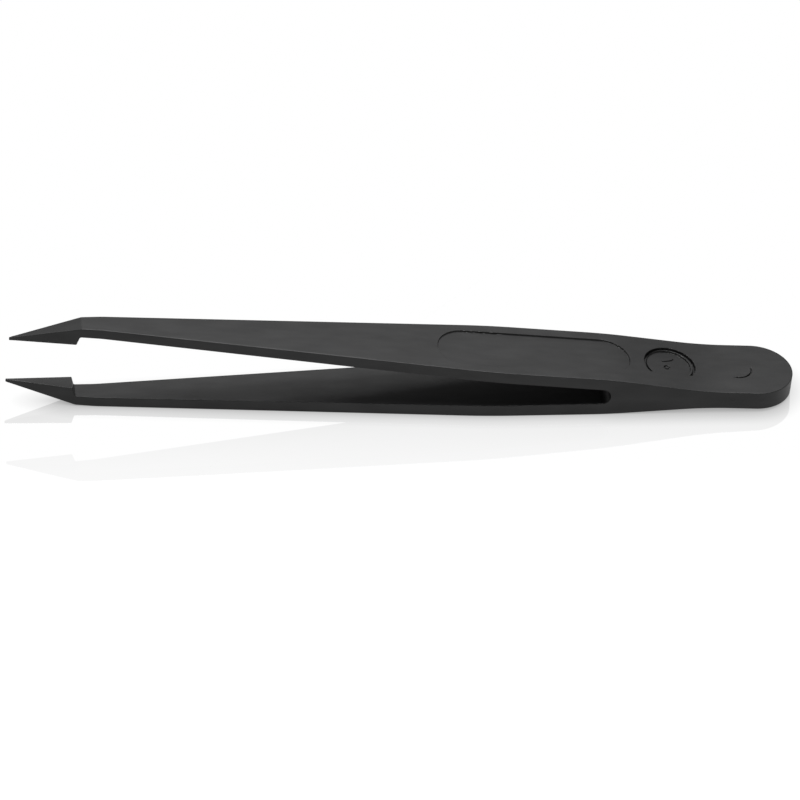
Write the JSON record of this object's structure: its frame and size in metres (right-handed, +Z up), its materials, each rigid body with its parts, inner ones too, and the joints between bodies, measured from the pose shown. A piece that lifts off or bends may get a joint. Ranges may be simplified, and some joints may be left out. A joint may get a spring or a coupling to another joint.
{
  "type": "precision tweezers",
  "caption": "One-piece moulded plastic tweezers: sprung flat arms joined at a rounded heel, tapering to stepped, pointed tips for gripping small parts.",
  "frame": {"origin": "middle of the flat outer face of the lower arm, on the bench that it lies on", "axes": "+X from the tips to the heel, +Y across the tweezers, +Z up from the bench"},
  "size_m": [0.1152, 0.0116, 0.0142],
  "materials": {
    "moulding": "matte charcoal-black carbon-fibre-filled plastic with a very fine moulded texture"
  },
  "bodies": {
    "heel": {"heel": "moulding", "upper_spring_root": "moulding", "lower_spring_root": "moulding"},
    "upper_arm": {"upper_spring_front": "moulding", "upper_shank": "moulding", "upper_tip": "moulding"},
    "lower_arm": {"lower_spring_front": "moulding", "lower_shank": "moulding", "lower_tip": "moulding"}
  },
  "joints": [
    {"name": "upper_arm_close", "type": "hinge", "parent": "heel", "child": "upper_arm", "pos_m": [0.02739, 0, 0.00689], "axis": [0, -1, 0], "range_deg": [0, 2.83], "stiffness_Nm_per_rad": 0.4},
    {"name": "lower_arm_close", "type": "hinge", "parent": "heel", "child": "lower_arm", "pos_m": [0.02708, 0, 0.00093], "axis": [0, 1, 0], "range_deg": [0, 2.83], "stiffness_Nm_per_rad": 0.4}
  ]
}
